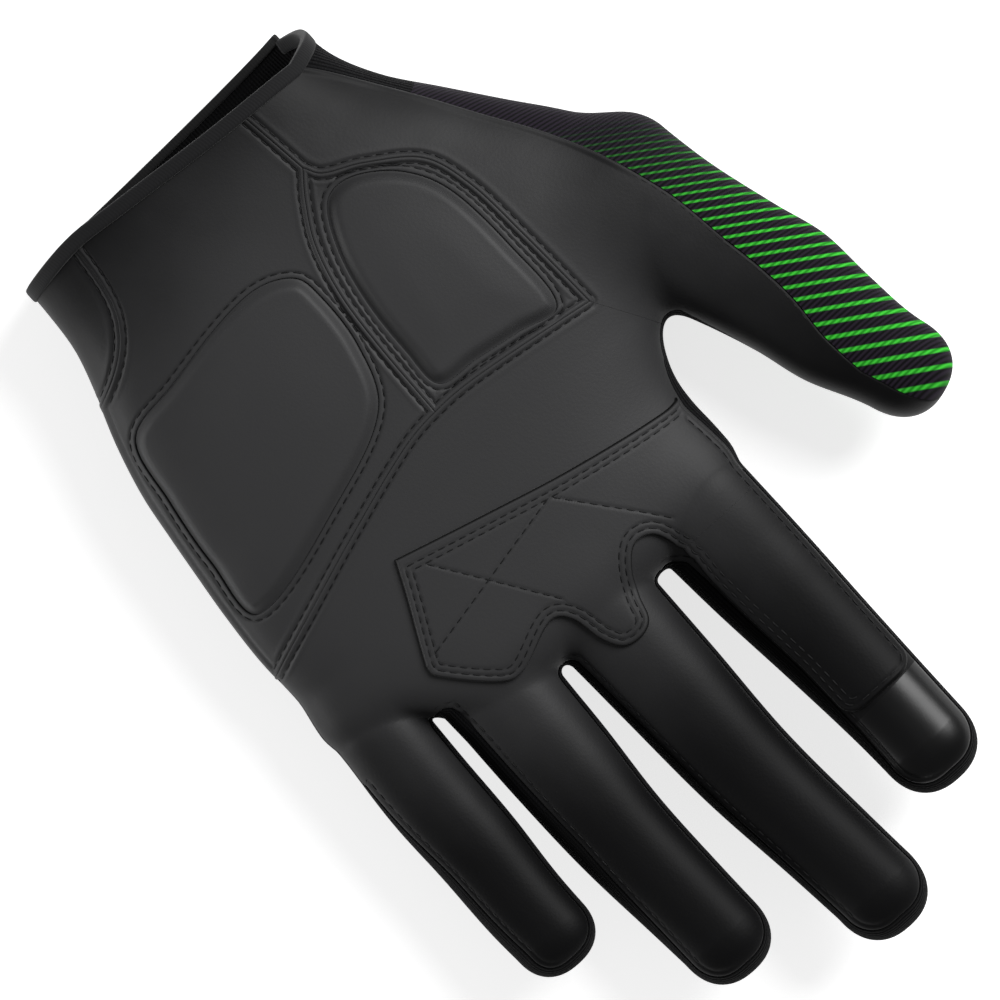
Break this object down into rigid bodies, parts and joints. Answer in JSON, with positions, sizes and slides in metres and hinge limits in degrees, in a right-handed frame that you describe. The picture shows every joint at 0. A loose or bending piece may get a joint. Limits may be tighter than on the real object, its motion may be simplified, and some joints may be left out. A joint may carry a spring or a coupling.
{
  "type": "motocross glove",
  "caption": "Left-hand off-road riding glove with padded synthetic leather palm, knit back, striped thumb and bending fingers.",
  "frame": {"origin": "centre of the glove's outline seen on the palm, at the level of the surface that its back lies on", "axes": "+Y from the cuff along the fingers, +X to the little-finger side, +Z out of the palm"},
  "size_m": [0.154, 0.2281, 0.0405],
  "materials": {
    "palm_leather": "charcoal synthetic leather, matte with a soft sheen",
    "finger_leather": "darker synthetic leather of the fingers and overlay, matte",
    "gloss_leather": "coated glossy black fingertip",
    "black_knit": "fine black knit",
    "striped_knit": "black twill knit with bright green stripes, which fade out towards the wrist",
    "ribbed_knit": "ribbed stretch knit",
    "cuff_tape": "dark grey woven binding tape",
    "pad_foam": "closed-cell foam sheet"
  },
  "bodies": {
    "hand": {"palm_main_panel": "palm_leather", "thumb_base_panel": "palm_leather", "palm_heel_panel": "palm_leather", "thenar_panel": "palm_leather", "heel_pad_cover": "palm_leather", "heel_pad_foam": "pad_foam", "thenar_pad_cover": "palm_leather", "thenar_pad_foam": "pad_foam", "wrist_side_panel": "palm_leather", "finger_root_overlay": "finger_leather", "back_panel": "black_knit", "thumb_base_back": "striped_knit", "little_side_panel": "ribbed_knit", "thumb_web": "ribbed_knit", "thumb_side_panel": "striped_knit", "wrist_gusset": "ribbed_knit", "crotch_index_middle": "ribbed_knit", "crotch_middle_ring": "ribbed_knit", "crotch_ring_little": "ribbed_knit", "cuff_tape_palm": "cuff_tape", "cuff_tape_back": "cuff_tape"},
    "index_lower": {"index_palm_lower": "finger_leather", "index_back_lower": "black_knit", "index_side_thumbwards": "ribbed_knit", "index_side_outwards": "ribbed_knit", "index_overlay_lower": "finger_leather"},
    "index_upper": {"index_palm_upper": "finger_leather", "index_back_upper": "black_knit", "index_tip_wrap": "black_knit", "index_overlay_upper": "finger_leather", "index_tip_cap": "gloss_leather"},
    "middle_lower": {"middle_palm_lower": "finger_leather", "middle_back_lower": "black_knit", "middle_side_thumbwards": "ribbed_knit", "middle_side_outwards": "ribbed_knit"},
    "middle_upper": {"middle_palm_upper": "finger_leather", "middle_back_upper": "black_knit", "middle_tip_wrap": "black_knit"},
    "ring_lower": {"ring_palm_lower": "finger_leather", "ring_back_lower": "black_knit", "ring_side_thumbwards": "ribbed_knit", "ring_side_outwards": "ribbed_knit"},
    "ring_upper": {"ring_palm_upper": "finger_leather", "ring_back_upper": "black_knit", "ring_tip_wrap": "black_knit"},
    "little_lower": {"little_palm_lower": "finger_leather", "little_back_lower": "black_knit", "little_side_thumbwards": "ribbed_knit", "little_side_outwards": "ribbed_knit"},
    "little_upper": {"little_palm_upper": "finger_leather", "little_back_upper": "black_knit", "little_tip_wrap": "black_knit"},
    "thumb_lower": {"thumb_palm_lower": "finger_leather", "thumb_back_lower": "striped_knit"},
    "thumb_upper": {"thumb_palm_upper": "finger_leather", "thumb_back_upper": "striped_knit"}
  },
  "joints": [
    {"name": "index_knuckle", "type": "hinge", "parent": "hand", "child": "index_lower", "pos_m": [-0.01634, 0.03098, 0.02854], "axis": [1, 0, 0], "range_deg": [0, 75], "stiffness_Nm_per_rad": 0.01},
    {"name": "index_middle_joint", "type": "hinge", "parent": "index_lower", "child": "index_upper", "pos_m": [-0.01755, 0.05802, 0.02826], "axis": [1, 0, 0], "range_deg": [0, 85], "stiffness_Nm_per_rad": 0.01},
    {"name": "middle_knuckle", "type": "hinge", "parent": "hand", "child": "middle_lower", "pos_m": [0.01333, 0.03369, 0.02907], "axis": [1, 0, 0], "range_deg": [0, 75], "stiffness_Nm_per_rad": 0.01},
    {"name": "middle_middle_joint", "type": "hinge", "parent": "middle_lower", "child": "middle_upper", "pos_m": [0.01274, 0.07003, 0.02898], "axis": [1, 0, 0], "range_deg": [0, 85], "stiffness_Nm_per_rad": 0.01},
    {"name": "ring_knuckle", "type": "hinge", "parent": "hand", "child": "ring_lower", "pos_m": [0.04108, 0.03114, 0.0284], "axis": [1, 0, 0], "range_deg": [0, 75], "stiffness_Nm_per_rad": 0.01},
    {"name": "ring_middle_joint", "type": "hinge", "parent": "ring_lower", "child": "ring_upper", "pos_m": [0.0418, 0.0598, 0.0282], "axis": [1, 0, 0], "range_deg": [0, 85], "stiffness_Nm_per_rad": 0.01},
    {"name": "little_knuckle", "type": "hinge", "parent": "hand", "child": "little_lower", "pos_m": [0.06614, 0.02733, 0.02638], "axis": [1, 0, 0], "range_deg": [0, 75], "stiffness_Nm_per_rad": 0.01},
    {"name": "little_middle_joint", "type": "hinge", "parent": "little_lower", "child": "little_upper", "pos_m": [0.06636, 0.04403, 0.02629], "axis": [1, 0, 0], "range_deg": [0, 80], "stiffness_Nm_per_rad": 0.01},
    {"name": "thumb_knuckle", "type": "hinge", "parent": "hand", "child": "thumb_lower", "pos_m": [-0.05255, -0.00848, 0.03214], "axis": [0.8937, 0.2904, -0.342], "range_deg": [0, 40], "stiffness_Nm_per_rad": 0.01},
    {"name": "thumb_middle_joint", "type": "hinge", "parent": "thumb_lower", "child": "thumb_upper", "pos_m": [-0.0581, 0.01159, 0.03227], "axis": [0.8937, 0.2904, -0.342], "range_deg": [0, 60], "stiffness_Nm_per_rad": 0.01}
  ]
}
